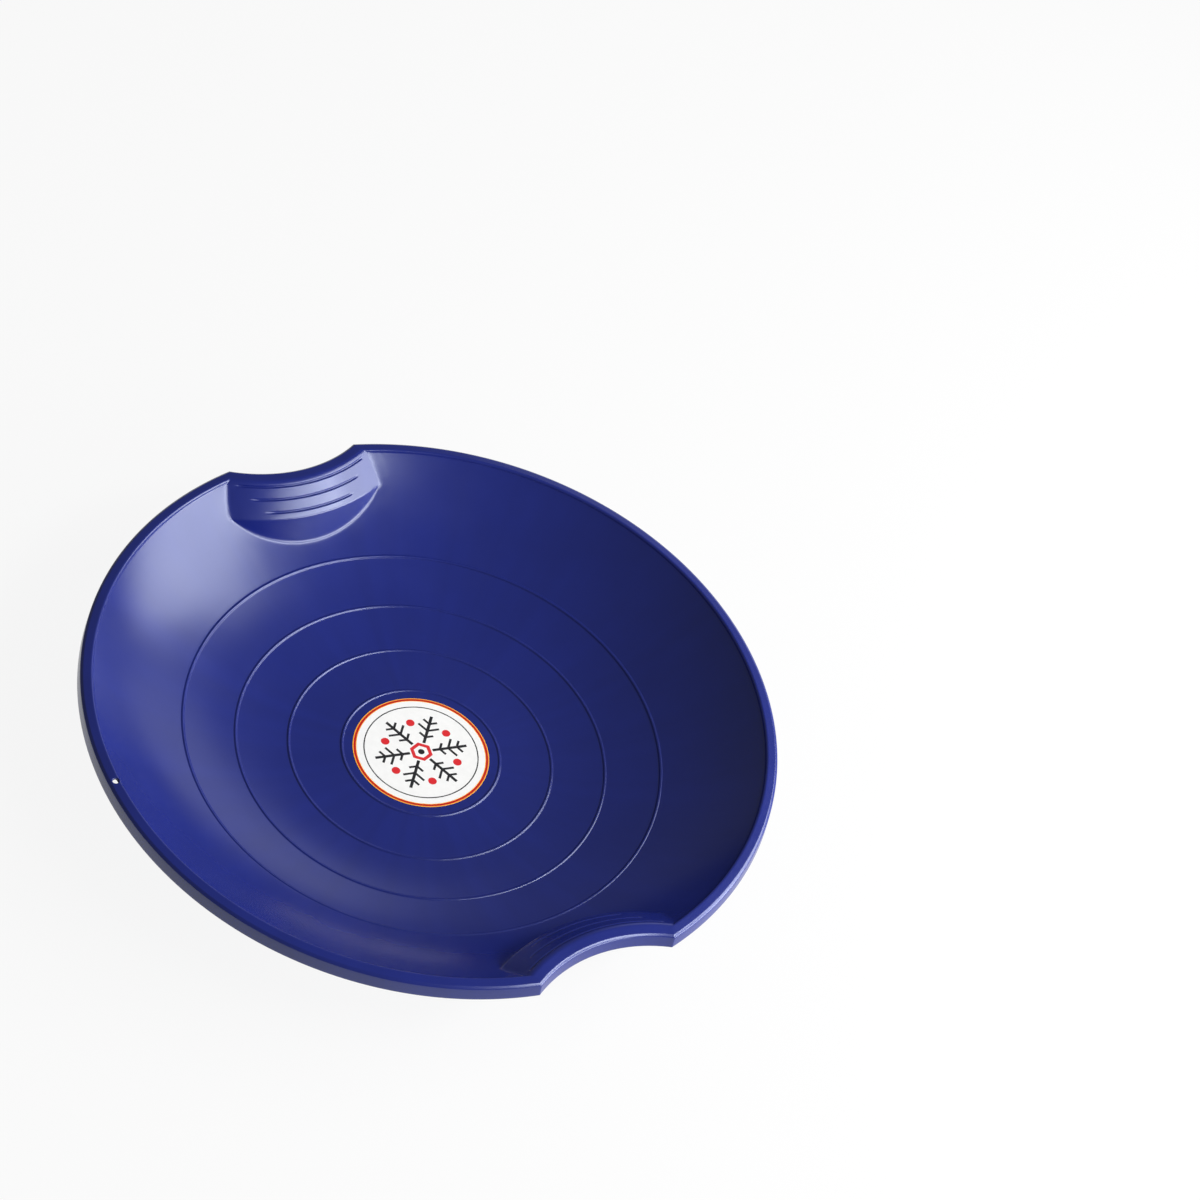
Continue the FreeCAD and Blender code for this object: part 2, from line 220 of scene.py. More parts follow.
class SledStage(bpy.types.PropertyGroup):
    """Camera, softboxes and floor."""

    aim: bpy.props.FloatVectorProperty(
        name="Aim", description="Point in the middle of the picture", subtype="TRANSLATION",
        default=(-19.6 * MM, 177.2 * MM, 139.6 * MM))
    distance: length("Distance", "From the camera to the point it aims at", 2299.5)
    azimuth: turn("Azimuth", "Camera's bearing from +X", -44.50)
    elevation: turn("Elevation", "Camera's height above the horizon", 44.71)
    roll: turn("Roll", "Camera turned about its own axis", 19.60)
    lens: bpy.props.FloatProperty(
        name="Lens", description="Focal length in millimetres on a 36 mm sensor", default=71.88)
    key: bpy.props.FloatProperty(name="Key", description="Brightness of the key softbox", default=6.4)
    strip: bpy.props.FloatProperty(name="Strip", description="Brightness of the strip softbox", default=13.8)
    low: bpy.props.FloatProperty(name="Low", description="Brightness of the low softbox", default=12.0)
    back: bpy.props.FloatProperty(name="Back", description="Brightness of the back softbox", default=0.8)
    room: bpy.props.FloatProperty(name="Room", description="Brightness of the room", default=0.185)
    floor: colour("Floor", "Paint of the studio floor", "#C8C8C8")
    glow: bpy.props.FloatProperty(
        name="Floor glow", description="Share of plain white in what is seen of the floor", default=0.9,
        subtype="FACTOR", min=0, max=1)


# A row of the shell's mesh: its kind and wall face, its distances from the dish's axis and from the
# hand-hold's centre, its height, its share of a stretch, a groove's depth and half length on it, and
# whether it is softened where the hand-hold runs into the bowl.
Row = namedtuple(
    "Row", "kind face reach grip height share dip half soft", defaults=(0, 0, 0, 0, 0, 0, False))


def mix(first, second, share):
    """Part of the way from one value to another."""
    return first + (second - first) * share


def ramp(value, low, high):
    """0 below low, 1 above high, and a smooth rise between."""
    share = min(max((value - low) / (high - low), 0.0), 1.0)
    return share * share * (3 - 2 * share)


def spread(first, last, gap):
    """Values from first towards last, evenly spaced and about a gap apart, without the last."""
    count = max(round(abs(last - first) / gap), 1)
    return [mix(first, last, step / count) for step in range(count)]


def round_corner(before, corner, after, radius, steps):
    """An arc that rounds a corner of a section, from the side of before to the side of after."""
    corner = Vector(corner)
    arm = (Vector(before) - corner).normalized()
    leg = (Vector(after) - corner).normalized()
    half = arm.angle(leg) / 2
    centre = corner + (arm + leg).normalized() * (radius / math.sin(half))
    start = corner + arm * (radius / math.tan(half)) - centre
    end = corner + leg * (radius / math.tan(half)) - centre
    sweep = math.atan2(start.x * end.y - start.y * end.x, start.dot(end))
    return [centre + Matrix.Rotation(sweep * step / steps, 2) @ start for step in range(steps + 1)]


class WallFace:
    """One face of the moulded wall: the dish about its axis, a hand-hold about its own.

    Depth is how far the face lies under the top one: 0, or the wall.
    """

    def __init__(self, dish, hold, depth):
        self.depth = depth
        self.slope = hold.slope_angle
        self.floor_radius = dish.floor_radius
        self.land_inner = dish.overall_radius - dish.skirt_flare - dish.land_width
        self.land_round = dish.land_round
        self.land = dish.rim_height - depth
        self.bowl_top = dish.rim_height - dish.rim_step
        run = self.land_inner - dish.floor_radius
        rise = self.bowl_top - dish.wall
        bowl_radius = (run ** 2 + rise ** 2) / (2 * rise)
        self.bowl_radius = bowl_radius + depth
        self.bowl_centre = dish.wall + bowl_radius
        self.grip_centre = dish.overall_radius - dish.skirt_flare - hold.scallop_depth + hold.scallop_radius
        self.lean = math.tan(hold.front_draft)
        fall = math.tan(hold.slope_angle)
        # The slope's and the front's lines, each moved square to itself by the depth.
        grip_face = hold.scallop_radius + hold.grip_land
        slope_drop = depth / math.cos(hold.slope_angle)
        front_back = depth / math.cos(hold.front_draft)
        crest_height = dish.rim_height - fall * hold.slope_run
        inset = (front_back - self.lean * slope_drop) / (1 - self.lean * fall)
        self.crest = Vector((grip_face + hold.slope_run - inset, crest_height - slope_drop + fall * inset))
        self.brow = Vector((grip_face - (slope_drop - depth) / fall, self.land))
        low = self.crest + Vector((self.lean, -1)) * FRONT_SPREAD
        crest_round = max(hold.crest_round - depth, LEAST_ROUND)
        self.crest_arc = round_corner(low, self.crest, self.brow, crest_round, 4)
        flat = self.brow - Vector((FRONT_SPREAD, 0))
        self.brow_arc = round_corner(self.crest, self.brow, flat, hold.grip_round - depth, 6)
        # Where the crest runs into the bowl: a corner of the boss.
        self.corner_reach = self.dish_reach(self.crest_arc[0].y)
        self.corner_turn = self.meeting(self.corner_reach, self.crest_arc[0].x)
        self.lips = {}

    def bowl_height(self, reach):
        """Height of the floor or bowl at a distance from the dish's axis."""
        run = max(reach - self.floor_radius, 0)
        return self.bowl_centre - math.sqrt(self.bowl_radius ** 2 - run ** 2)

    def bowl_slope(self, reach):
        """Angle that the bowl rises at."""
        return math.asin(max(reach - self.floor_radius, 0) / self.bowl_radius)

    def dish_reach(self, height):
        """Distance of the dish's section from its axis, at a height up to the land."""
        if not self.depth and height > self.bowl_top:
            rise = max(height - self.land + self.land_round, 0)
            return self.land_inner + self.land_round - math.sqrt(self.land_round ** 2 - rise ** 2)
        drop = self.bowl_centre - height
        return self.floor_radius + math.sqrt(self.bowl_radius ** 2 - drop ** 2)

    def meeting(self, reach, grip):
        """Bearing about the hand-hold's centre where a circle of it crosses a circle of the dish."""
        gap = self.grip_centre
        return math.acos((gap ** 2 + grip ** 2 - reach ** 2) / (2 * gap * grip))

    def spot(self, grip, bearing, height):
        """A point by its distance and bearing from the hand-hold's centre."""
        return Vector((self.grip_centre - grip * math.cos(bearing), grip * math.sin(bearing), height))

    def lip(self, share):
        """Where the boss's front meets the bowl, at a share of the way to the boss's corner."""
        if share not in self.lips:
            bearing = share * self.corner_turn
            high, low = self.crest_arc[0].y, self.bowl_height(0)
            for _ in range(40):
                height = (high + low) / 2
                point = self.spot(self.front_reach(height), bearing, height)
                if height > self.bowl_height(math.hypot(point.x, point.y)):
                    high = height
                else:
                    low = height
            self.lips[share] = self.spot(self.front_reach(high), bearing, high)
        return self.lips[share]

    def front_reach(self, height):
        """Distance of the boss's front from the hand-hold's centre."""
        return self.crest.x + self.lean * (self.crest.y - height)

    def place(self, row, angle):
        """A row's point at an angle of the turned mesh, in the quarter between +X and +Y."""
        if angle <= HOLD_TURN:
            share = angle / HOLD_TURN
            # Closer columns towards the ends of the hand-hold.
            return self.place_in_hold(row, angle, share * (1.3 - 0.3 * share ** 2))
        share = (angle - HOLD_TURN) / (math.pi / 2 - HOLD_TURN)
        # Close columns beside the hand-hold, too.
        return self.place_beside(row, angle, share * (0.2 + 0.8 * share))

    def place_in_hold(self, row, angle, share):
        """A row's point within a hand-hold, at a share of the way to its end."""
        if row.kind == "rim":
            bearing = share * self.meeting(row.reach, row.grip)
            grip, height = row.grip, row.height
            if row.dip:
                end = row.half - grip * math.sin(bearing)
                depth = row.dip * ramp(end, 0, GROOVE_FADE)
                grip -= depth * math.sin(self.slope)
                height -= depth * math.cos(self.slope)
            return self.spot(grip, bearing, height)
        lip = self.lip(share)
        if row.kind == "front":
            height = self.above_lip(lip.z, self.crest_arc[0].y, row)
            return self.spot(self.front_reach(height), share * self.corner_turn, height)
        bearing = math.atan2(lip.y, lip.x)
        if row.kind == "approach":
            return self.on_bowl(self.before_lip(math.hypot(lip.x, lip.y), row), bearing)
        return self.on_floor(row, mix(angle, bearing, ramp(row.reach, LEAN_REACH, FREE_REACH)))

    def place_beside(self, row, angle, share):
        """A row's point on the plain dish, at a share of the way from the hand-hold's end to +Y."""
        reach, grip = (row.reach, row.grip) if row.kind == "rim" else (
            self.corner_reach, self.crest_arc[0].x)
        edge = self.spot(grip, self.meeting(reach, grip), 0)
        edge = math.atan2(edge.y, edge.x)
        bearing = mix(edge, math.pi / 2, share)
        if row.kind == "rim":
            return Vector((reach * math.cos(bearing), reach * math.sin(bearing), row.height))
        start = self.corner_reach - FRONT_SPREAD * ramp(share, 0, 0.3)
        if row.kind == "front":
            return self.on_bowl(self.above_lip(start, self.corner_reach, row), bearing)
        if row.kind == "approach":
            return self.on_bowl(self.before_lip(start, row), bearing)
        return self.on_floor(row, mix(angle, bearing, ramp(row.reach, LEAN_REACH, FREE_REACH)))

    def above_lip(self, lip, crest, row):
        """A height or reach by a row's distance from the lip, drawn in where the front is low."""
        near = min(row.reach, 0.5 * (crest - lip) * row.reach / LIP_ROWS)
        return mix(lip + near, crest, row.share)

    def before_lip(self, lip, row):
        """A reach by a row's share of the way to the lip's own rows, or its distance from the lip."""
        return mix(FREE_REACH, lip - LIP_ROWS, row.share) if row.share < 1 else lip - row.reach

    def on_bowl(self, reach, bearing):
        """A point of the bowl by its distance and bearing from the dish's axis."""
        return Vector((reach * math.cos(bearing), reach * math.sin(bearing), self.bowl_height(reach)))

    def on_floor(self, row, bearing):
        """A floor row's point at a bearing."""
        return Vector((row.reach * math.cos(bearing), row.reach * math.sin(bearing), row.height))


def floor_rows(face, dish, gap):
    """Rows of the floor and lower bowl, from the middle out; only the top face has the ridges."""
    bead = [(-BEAD_REACH, 0)]
    half_width = math.sqrt(dish.ridge_bead ** 2 - (dish.ridge_bead - dish.ridge_height) ** 2)
    for step in range(-BEAD_STEPS, BEAD_STEPS + 1):
        across = half_width * math.sin(step / BEAD_STEPS * math.pi / 2)
        lift = math.sqrt(dish.ridge_bead ** 2 - across ** 2) - dish.ridge_bead + dish.ridge_height
        bead.append((across, max(lift, 0)))
    bead.append((BEAD_REACH, 0))
    points = []
    start = 0
    ridges = dish.ridge_count if not face.depth else 0
    for index in range(ridges):
        ridge = dish.ridge_first + index * dish.ridge_pitch
        points += [(reach, 0) for reach in spread(start, ridge + bead[0][0], gap)]
        points += [(ridge + across, lift) for across, lift in bead[:-1]]
        start = ridge + bead[-1][0]
    points += [(reach, 0) for reach in spread(start, FREE_REACH, gap)] + [(FREE_REACH, 0)]
    rows = []
    for reach, lift in points:
        slope = face.bowl_slope(reach)
        rows.append(Row("floor", face, reach=reach - lift * math.sin(slope),
                        height=face.bowl_height(reach) + lift * math.cos(slope)))
    return rows


def bowl_rows(face, approach, near, front):
    """Rows of the upper bowl and of the boss's front: shares of the way, and distances from the lip."""
    rows = [Row("approach", face, share=share) for share in approach]
    rows += [Row("approach", face, share=1, reach=gap, soft=True) for gap in near[::-1]]
    rows += [Row("front", face, reach=gap, soft=True) for gap in near[1:]]
    return rows + [Row("front", face, reach=LIP_ROWS, share=share) for share in front]


def slope_rows(face, hold, grooved):
    """Rows round the hand-hold's centre from the crest over the grip slope to the land."""
    marks = [(point.x, point.y, 0, 0) for point in face.crest_arc + face.brow_arc]
    foot, head = face.crest_arc[-1], face.brow_arc[0]
    fall = math.tan(hold.slope_angle)

    def slope_height(grip):
        """Height of the grip slope at a distance from the hand-hold's centre."""
        return foot.y + (foot.x - grip) * fall

    if grooved:
        grip_face = hold.scallop_radius + hold.grip_land
        half_width = hold.groove_width / 2
        for index in range(hold.groove_count):
            middle = grip_face + hold.groove_first + index * hold.groove_pitch
            half = hold.groove_reach - index * hold.groove_taper
            for across, dip in GROOVE_SECTION:
                grip = middle + across * half_width * math.cos(hold.slope_angle)
                if head.x + GROOVE_MARGIN < grip < foot.x - GROOVE_MARGIN:
                    marks.append((grip, slope_height(grip), dip * hold.groove_depth, half))
            below = middle + hold.groove_pitch / 2
            if below < foot.x - BETWEEN_MARGIN:
                marks.append((below, slope_height(below), 0, 0))
    else:
        marks += [(grip, slope_height(grip), 0, 0) for grip in spread(foot.x, head.x, SLOPE_GAP)[1:]]
    marks.sort(key=lambda mark: -mark[0])
    return [Row("rim", face, reach=face.dish_reach(height), grip=grip, height=height, dip=dip, half=half,
                soft=height < face.bowl_top) for grip, height, dip, half in marks]


def rim_rows(top, under, dish, hold):
    """Rows of the land, the skirt and its inside, each by how far it lies outside the land's edge."""
    wall = dish.wall
    fall = dish.land_fall / dish.land_width
    foot = (dish.skirt_flare, -dish.skirt_depth)
    # The eased edge leaves the land at its brow and meets the skirt at its knee.
    drop = math.tan(dish.shoulder_fall)
    lean = dish.skirt_flare / (dish.skirt_depth - dish.land_fall)
    brow = (-dish.shoulder_width, dish.shoulder_width * fall - dish.land_fall)
    knee_reach = lean * dish.shoulder_width * (drop - fall) / (1 - lean * drop)
    knee = (knee_reach, brow[1] - drop * (knee_reach + dish.shoulder_width))
    inner_foot = (dish.skirt_flare - wall, -dish.skirt_depth)
    inner_edge = (-wall, -dish.land_fall - wall + wall * fall)
    section = round_corner((-1, fall - dish.land_fall), brow, knee, dish.rim_round, 3)
    section += round_corner(brow, knee, foot, dish.rim_round, 4)
    section += [Vector(knee).lerp(foot, share) for share in (0.45, 0.8)]
    section += round_corner(knee, foot, inner_foot, FOOT_ROUND, 3)
    section += round_corner(foot, inner_foot, inner_edge, FOOT_ROUND, 3)
    section += [Vector(inner_foot).lerp(inner_edge, 0.5)]
    section += round_corner(inner_foot, inner_edge, (-1, -dish.land_fall - wall + fall), INNER_ROUND, 3)
    land_outer = dish.overall_radius - dish.skirt_flare
    rows = [Row("rim", top, reach=land_outer + point.x, grip=hold.scallop_radius - point.x,
                height=dish.rim_height + point.y) for point in section]
    # The land itself, on top and below, between those rows and the grip slope's.
    first, last = rows[0], rows[-1]
    top_start = Row("rim", top, reach=top.dish_reach(top.land), grip=top.brow_arc[-1].x, height=top.land)
    under_end = Row("rim", under, reach=under.dish_reach(under.land), grip=under.brow_arc[-1].x,
                    height=under.land)

    def between(start, end, shares):
        """Rows at shares of the straight way from one row to another."""
        return [Row("rim", start.face, reach=mix(start.reach, end.reach, share),
                    grip=mix(start.grip, end.grip, share), height=mix(start.height, end.height, share))
                for share in shares]

    return between(top_start, first, (0.12, 0.5, 0.85)) + rows + between(last, under_end, (0.15, 0.5))


def shell_rows(top, under, dish, hold):
    """All rows of the shell's section, from the middle of the floor over the rim to the underside."""
    rows = floor_rows(top, dish, TOP_GAP)
    near = [share * LIP_ROWS for share in LIP_SHARES]
    rows += bowl_rows(top, TOP_APPROACH, near, TOP_FRONT)
    rows += slope_rows(top, hold, True)
    rows += rim_rows(top, under, dish, hold)
    back = floor_rows(under, dish, UNDER_GAP)
    back += bowl_rows(under, UNDER_APPROACH, near[::2], UNDER_FRONT)
    back += slope_rows(under, hold, False)
    return rows + back[::-1]


def plain_point(row):
    """Where a row lies on the plain dish, for the section that is turned."""
    point = row.face.place(row, math.pi / 2)
    return point.y, point.z


def add_object(name, mesh_data, material):
    """A finished mesh as an object of the scene, at the origin."""
    mesh = bpy.data.meshes.new(name)
    mesh_data.to_mesh(mesh)
    mesh_data.free()
    mesh.materials.append(material)
    item = bpy.data.objects.new(name, mesh)
    bpy.context.scene.collection.objects.link(item)
    return item


def cut_rope_hole(bm, dish, top, under):
    """Opens the land over the rope hole, above and below, and puts the hole's wall between."""
    hole_reach = dish.overall_radius - dish.skirt_flare - dish.hole_inset
    middle = Vector((0, -hole_reach, 0))
    doomed = {True: [], False: []}
    for face in bm.faces:
        centre = face.calc_center_median()
        reach = math.hypot(centre.x, centre.y)
        beside = abs(reach - hole_reach) < dish.hole_radius + HOLE_CLEAR
        if beside and centre.y < 0 and abs(centre.x) < HOLE_SPAN:
            underside = min(under.land, under.bowl_height(reach))
            doomed[centre.z > underside + dish.wall / 2].append(face)
    bmesh.ops.delete(bm, geom=doomed[True], context="FACES")
    upper = [edge for edge in bm.edges if edge.is_boundary]
    bmesh.ops.delete(bm, geom=doomed[False], context="FACES")
    above = set(upper)
    lower = [edge for edge in bm.edges if edge.is_boundary and edge not in above]
    fall = dish.land_fall / dish.land_width

    def land_at(point):
        """How far the land lies under its inner part, at a point."""
        outside = math.hypot(point.x, point.y) - top.land_inner
        inside = min(max(top.land_round - outside, 0), top.land_round)
        rounding = top.land_round - math.sqrt(top.land_round ** 2 - inside ** 2)
        return -max(outside - top.land_round, 0) * fall - rounding

    last = upper
    for widening, sunk in HOLE_RINGS:
        last = bridge_to_ring(bm, last, middle, dish.hole_radius + widening * MM,
                              lambda point, depth=sunk * MM: top.land - depth + land_at(point))
    last = bridge_to_ring(
        bm, last, middle, dish.hole_radius,
        lambda point: min(under.land + land_at(point), under.bowl_height(math.hypot(point.x, point.y))))
    bmesh.ops.bridge_loops(bm, edges=last + lower)


def bridge_to_ring(bm, edges, middle, radius, height_at):
    """Joins an open edge to a new ring of vertices and gives the ring's edges."""
    made = bmesh.ops.create_circle(
        bm, segments=HOLE_SEGMENTS, radius=radius, matrix=Matrix.Translation(middle))["verts"]
    for vert in made:
        vert.co.z = height_at(vert.co)
    ring = list(dict.fromkeys(edge for vert in made for edge in vert.link_edges))
    bmesh.ops.bridge_loops(bm, edges=edges + ring)
    return ring


def make_shell_mesh(dish, hold):
    """The shell: its section turned about the axis, then its rows drawn onto the hand-holds."""
    top = WallFace(dish, hold, 0)
    under = WallFace(dish, hold, dish.wall)
    rows = shell_rows(top, under, dish, hold)
    bm = bmesh.new()
    row_of = bm.verts.layers.int.new("row")
    crease = bm.verts.layers.int.new("crease")
    hold_columns = round(HOLD_TURN / (math.pi / 2) * QUARTER_COLUMNS)
    section = []
    for index, row in enumerate(rows):
        reach, height = plain_point(row)
        vert = bm.verts.new((reach, 0, height))
        vert[row_of] = index
        section.append(vert)
    edges = [bm.edges.new(pair) for pair in zip(section, section[1:])]
    bmesh.ops.spin(
        bm, geom=section + edges, cent=(0, 0, 0), axis=(0, 0, 1), dvec=(0, 0, 0),
        angle=math.pi / 2, steps=QUARTER_COLUMNS, use_merge=False, use_duplicate=False)
    for vert in bm.verts:
        row = rows[vert[row_of]]
        column = round(math.atan2(vert.co.y, vert.co.x) / (math.pi / 2) * QUARTER_COLUMNS)
        vert.co = row.face.place(row, math.pi / 2 * column / QUARTER_COLUMNS)
        past = column - hold_columns
        if row.soft and not row.face.depth and past <= CREASE_COLUMNS:
            vert[crease] = row.kind != "rim" or past >= -CREASE_COLUMNS
    for axis in "XY":
        bmesh.ops.mirror(bm, geom=bm.verts[:] + bm.edges[:] + bm.faces[:], axis=axis, merge_dist=MERGE / 20)
    bmesh.ops.remove_doubles(bm, verts=bm.verts, dist=MERGE)
    bmesh.ops.dissolve_degenerate(bm, edges=bm.edges, dist=MERGE)
    creased = [vert for vert in bm.verts if vert[crease]]
    for _ in range(CREASE_ROUNDS):
        bmesh.ops.smooth_vert(
            bm, verts=creased, factor=0.5, use_axis_x=True, use_axis_y=True, use_axis_z=True)
    cut_rope_hole(bm, dish, top, under)
    bmesh.ops.recalc_face_normals(bm, faces=bm.faces)
    for face in bm.faces:
        face.smooth = True
    return bm


def add_node(tree, kind, links=(), **settings):
    """A shader node with its settings; links are (input, output socket or value)."""
    node = tree.nodes.new(kind)
    for key, value in settings.items():
        setattr(node, key, value)
    for key, value in links:
        if isinstance(value, bpy.types.NodeSocket):
            tree.links.new(value, node.inputs[key])
        else:
            node.inputs[key].default_value = value
    return node


def new_material(name):
    """An empty node material and its output."""
    material = bpy.data.materials.new(name)
    material.use_nodes = True
    material.node_tree.nodes.clear()
    return material, material.node_tree, material.node_tree.nodes.new("ShaderNodeOutputMaterial")


def shell_material(look):
    """Injection-moulded polyethylene: a deep even pigment under a waxy, softly blurred gloss."""
    material, tree, output = new_material("injection_moulded_polyethylene")
    place = add_node(tree, "ShaderNodeTexCoord").outputs["Object"]
    # The melt runs out from the middle of the floor, and leaves faint paler and darker rays.
    flat = add_node(tree, "ShaderNodeVectorMath", ((0, place), (1, (1, 1, 0))), operation="MULTIPLY")
    ray = add_node(tree, "ShaderNodeVectorMath", ((0, flat.outputs[0]),), operation="NORMALIZE")
    rays = add_node(tree, "ShaderNodeTexNoise", (
        ("Vector", ray.outputs[0]), ("Scale", 9.0), ("Detail", 3.0)))
    clouds = add_node(tree, "ShaderNodeTexNoise", (
        ("Vector", place), ("Scale", 1 / (60 * MM)), ("Detail", 3.0)))
    flow = add_node(tree, "ShaderNodeMath", (
        (0, rays.outputs["Fac"]), (1, clouds.outputs["Fac"])), operation="MULTIPLY")
    tint = add_node(tree, "ShaderNodeMapRange", (
        ("Value", flow.outputs[0]), ("From Min", 0.12), ("From Max", 0.38),
        ("To Min", 0.93), ("To Max", 1.07)))
    pigment = add_node(tree, "ShaderNodeVectorMath", (
        (0, look.shell), ("Scale", tint.outputs[0])), operation="SCALE")
    # Handling leaves short soft rubs, which only the gloss shows.
    rubs = add_node(tree, "ShaderNodeTexNoise", (
        ("Vector", place), ("Scale", 1 / (45 * MM)), ("Detail", 1.0)))
    gloss = add_node(tree, "ShaderNodeMapRange", (
        ("Value", rubs.outputs["Fac"]), ("From Min", 0.3), ("From Max", 0.7),
        ("To Min", look.shell_gloss - 0.01), ("To Max", look.shell_gloss + 0.02)))
    # The eroded mould leaves a grain of about half a millimetre, drawn at one so that it shows.
    grain = add_node(tree, "ShaderNodeTexNoise", (
        ("Vector", place), ("Scale", 1 / (1.0 * MM)), ("Detail", 2.0)))
    relief = add_node(tree, "ShaderNodeBump", (
        ("Height", grain.outputs["Fac"]), ("Strength", 0.2), ("Distance", 0.03 * MM)))
    shader = add_node(tree, "ShaderNodeBsdfPrincipled", (
        ("Base Color", pigment.outputs[0]), ("Roughness", gloss.outputs[0]), ("IOR", 1.66),
        ("Specular Tint", (0.8, 0.86, 1.0, 1.0)), ("Normal", relief.outputs[0])))
    tree.links.new(shader.outputs["BSDF"], output.inputs["Surface"])
    return material


def label_material(label, look):
    """Screen-printed vinyl film: dense flat inks on white, under a clear satin laminate."""
    material, tree, output = new_material("screen_printed_vinyl")
    place = add_node(tree, "ShaderNodeTexCoord").outputs["Object"]
    flat = add_node(tree, "ShaderNodeVectorMath", ((0, place), (1, (1, 1, 0))), operation="MULTIPLY")
    reach = add_node(tree, "ShaderNodeVectorMath", (
        (0, flat.outputs[0]),), operation="LENGTH").outputs["Value"]
    # The crystal has six like arms: each is folded onto half of one, along U and away from it along V.
    axes = add_node(tree, "ShaderNodeSeparateXYZ", ((0, place),))
    bearing = add_node(tree, "ShaderNodeMath", (
        (0, axes.outputs["Y"]), (1, axes.outputs["X"])), operation="ARCTAN2")
    bearing = add_node(tree, "ShaderNodeMath", (
        (0, bearing.outputs[0]), (1, label.motif_turn)), operation="SUBTRACT")
    fold = add_node(tree, "ShaderNodeMath", (
        (0, bearing.outputs[0]), (1, math.pi / 6)), operation="PINGPONG")
    spread_u = add_node(tree, "ShaderNodeMath", ((0, fold.outputs[0]),), operation="COSINE")
    spread_v = add_node(tree, "ShaderNodeMath", ((0, fold.outputs[0]),), operation="SINE")
    along = add_node(tree, "ShaderNodeMath", (
        (0, reach), (1, spread_u.outputs[0])), operation="MULTIPLY").outputs[0]
    aside = add_node(tree, "ShaderNodeMath", (
        (0, reach), (1, spread_v.outputs[0])), operation="MULTIPLY").outputs[0]
    folded = add_node(tree, "ShaderNodeCombineXYZ", ((0, along), (1, aside))).outputs[0]
    # Side twigs leave an arm at sixty degrees.
    lean = (math.cos(math.pi / 3), math.sin(math.pi / 3))
    twig_along = add_node(tree, "ShaderNodeVectorMath", (
        (0, folded), (1, (lean[0], lean[1], 0))), operation="DOT_PRODUCT").outputs["Value"]
    twig_aside = add_node(tree, "ShaderNodeVectorMath", (
        (0, folded), (1, (lean[1], -lean[0], 0))), operation="DOT_PRODUCT").outputs["Value"]
    dot = (DOT_REACH * MM * math.cos(math.pi / 6), DOT_REACH * MM * math.sin(math.pi / 6), 0)
    gap = add_node(tree, "ShaderNodeVectorMath", (
        (0, folded), (1, dot)), operation="DISTANCE").outputs["Value"]
    # A mark is where all its bands hold. A band is a value, its middle and its half width in millimetres.
    arm = [(along, (ARM_START + ARM_END) / 2, (ARM_END - ARM_START) / 2), (aside, 0, ARM_HALF)]
    crystal = [arm, [(reach, CIRCLE_REACH, CIRCLE_HALF)], [(reach, 0, MIDDLE_RADIUS)]]
    for root, tip in TWIGS:
        crystal.append([(twig_along, root * lean[0] + tip / 2, tip / 2),
                        (twig_aside, root * lean[1], TWIG_HALF)])
    dots = [[(along, HEXAGON_REACH, HEXAGON_HALF)], [(gap, 0, DOT_RADIUS)]]
    edge, border = label.radius / MM, label.border / MM
    ring = [[(reach, edge, 1.5 * border)]]
    rims = [[(reach, edge, 0.45 * border)], [(reach, edge - 1.65 * border, 0.16 * border)]]
    prints = (
        (look.label_ink, crystal), (look.label_accent, dots),
        (look.label_ring, ring), (look.label_rim, rims))
    colour_so_far = (*look.label_face, 1)
    for ink, marks in prints:
        for bands in marks:
            mask = 1.0
            for value, middle, half in bands:
                held = add_node(tree, "ShaderNodeMath", (
                    (0, value), (1, middle * MM), (2, half * MM)), operation="COMPARE")
                mask = add_node(tree, "ShaderNodeMath", (
                    (0, mask), (1, held.outputs[0])), operation="MULTIPLY").outputs[0]
            layer = add_node(tree, "ShaderNodeMix", (
                ("Factor", mask), (6, colour_so_far), (7, (*ink, 1))), data_type="RGBA")
            colour_so_far = layer.outputs[2]
    # Ink dries a little unevenly, and the laminate over it has a slight orange peel.
    uneven = add_node(tree, "ShaderNodeTexNoise", (
        ("Vector", place), ("Scale", 1 / (5 * MM)), ("Detail", 3.0)))
    density = add_node(tree, "ShaderNodeMapRange", (
        ("Value", uneven.outputs["Fac"]), ("From Min", 0.3), ("From Max", 0.7),
        ("To Min", 0.96), ("To Max", 1.0)))
    shade = add_node(tree, "ShaderNodeVectorMath", (
        (0, colour_so_far), ("Scale", density.outputs[0])), operation="SCALE")
    peel = add_node(tree, "ShaderNodeTexNoise", (
        ("Vector", place), ("Scale", 1 / (2.5 * MM)), ("Detail", 1.0)))
    relief = add_node(tree, "ShaderNodeBump", (
        ("Height", peel.outputs["Fac"]), ("Strength", 0.3), ("Distance", 0.05 * MM)))
    satin = add_node(tree, "ShaderNodeMapRange", (
        ("Value", uneven.outputs["Fac"]), ("From Min", 0.3), ("From Max", 0.7),
        ("To Min", 0.36), ("To Max", 0.44)))
    shader = add_node(tree, "ShaderNodeBsdfPrincipled", (
        ("Base Color", shade.outputs[0]), ("Roughness", satin.outputs[0]), ("IOR", 1.5),
        ("Normal", relief.outputs[0])))
    tree.links.new(shader.outputs["BSDF"], output.inputs["Surface"])
    return material


